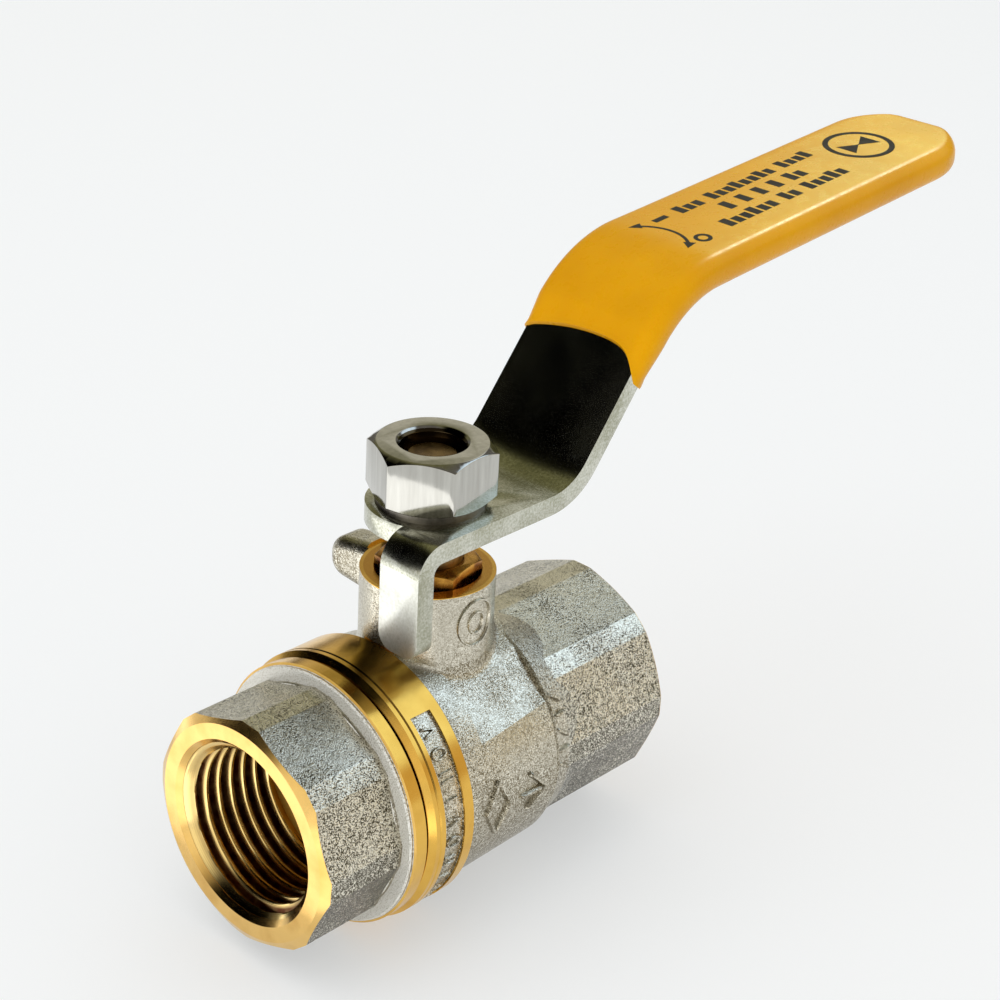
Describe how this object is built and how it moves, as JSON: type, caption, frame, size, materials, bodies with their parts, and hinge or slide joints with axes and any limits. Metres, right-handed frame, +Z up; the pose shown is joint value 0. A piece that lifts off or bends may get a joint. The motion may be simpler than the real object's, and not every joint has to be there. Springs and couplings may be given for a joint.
{
  "type": "ball valve",
  "caption": "Small quarter-turn ball valve with threaded female ends, screwed-in end cap, chromed ball, and a bent flat steel lever in a dipped yellow sleeve.",
  "frame": {"origin": "middle of the end cap's port face, on the pipe axis", "axes": "+X along the pipe axis from the end cap to the body end; +Z up along the stem; +Y to the left of the flow"},
  "size_m": [0.1208, 0.0324, 0.0752],
  "materials": {
    "nickel_plated_brass": "satin nickel plate over a forged surface, bare brass where machined",
    "turned_brass": "bright turned brass",
    "chromed_ball": "hard chrome plate on brass, polished",
    "ptfe": "smooth white PTFE",
    "seal_rubber": "black nitrile rubber",
    "zinc_plated_steel": "zinc-plated pressed steel strip, slightly mottled",
    "washer_steel": "oiled spring steel",
    "bright_nut": "bright zinc plate, smooth",
    "yellow_pvc": "dipped soft PVC, satin, with dark print"
  },
  "bodies": {
    "valve_body": {"body": "nickel_plated_brass", "end_cap": "nickel_plated_brass", "cap_seal": "seal_rubber", "seat_cap_side": "ptfe", "seat_body_side": "ptfe", "stem_thrust_washer": "ptfe", "gland_packing": "ptfe", "gland_nut": "turned_brass"},
    "ball": {"ball": "chromed_ball"},
    "stem_and_lever": {"stem": "turned_brass", "stem_o_ring_lower": "seal_rubber", "stem_o_ring_upper": "seal_rubber", "lever": "zinc_plated_steel", "lever_sleeve": "yellow_pvc", "lever_washer": "washer_steel", "lever_nut": "bright_nut"}
  },
  "joints": [
    {"name": "lever_turn", "type": "hinge", "parent": "valve_body", "child": "stem_and_lever", "pos_m": [0.028, 0, 0.02], "axis": [0, 0, 1], "range_deg": [-90, 0]},
    {"name": "ball_turn", "type": "hinge", "parent": "valve_body", "child": "ball", "pos_m": [0.028, 0, 0], "axis": [0, 0, 1], "range_deg": [-90, 0]}
  ],
  "couplings": [
    {"joint": "ball_turn", "follows": "lever_turn", "ratio": 1}
  ]
}
